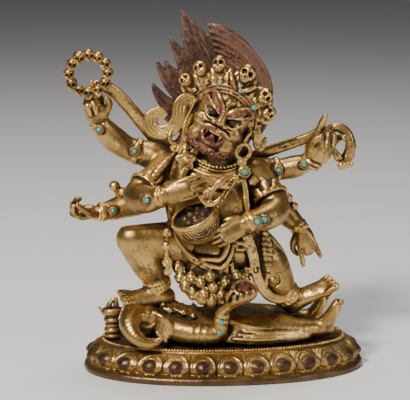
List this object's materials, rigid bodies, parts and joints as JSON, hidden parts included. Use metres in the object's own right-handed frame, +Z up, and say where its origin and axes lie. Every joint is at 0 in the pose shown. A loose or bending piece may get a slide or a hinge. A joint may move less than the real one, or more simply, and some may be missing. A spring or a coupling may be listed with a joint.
{
  "type": "deity figure",
  "caption": "Gilt copper many-armed protector treading on an elephant-headed figure, with red hair rising in flames, turquoise inlays and an oval lotus base",
  "frame": {"origin": "centre of the flat underside of the lotus base", "axes": "+Z up; +X along the base's length, to the viewer's right; the figure faces -Y"},
  "size_m": [0.1597, 0.084, 0.1888],
  "materials": {
    "base_copper": "worn fire gilding over dark copper",
    "gilt_copper": "worn fire gilding with dark patina in the recesses",
    "red_hair": "worn red cold paint on copper",
    "turquoise": "small inlaid stones, softly polished"
  },
  "bodies": {
    "root": {"lotus_base": "base_copper", "protector_figure": "gilt_copper", "flaming_hair": "red_hair", "trampled_elephant": "gilt_copper", "offering_vessel": "gilt_copper", "turquoise_shoulder": "turquoise", "turquoise_upper_left_wrist": "turquoise", "turquoise_upper_right_armlet": "turquoise", "turquoise_upper_right_wrist": "turquoise", "turquoise_front_right_forearm": "turquoise", "turquoise_front_left_wrist_a": "turquoise", "turquoise_front_left_wrist_b": "turquoise", "turquoise_middle_right_wrist": "turquoise", "turquoise_chest": "turquoise", "turquoise_diadem_right": "turquoise", "turquoise_diadem_middle_right": "turquoise", "turquoise_diadem_middle_left": "turquoise", "turquoise_diadem_left": "turquoise"}
  },
  "joints": []
}
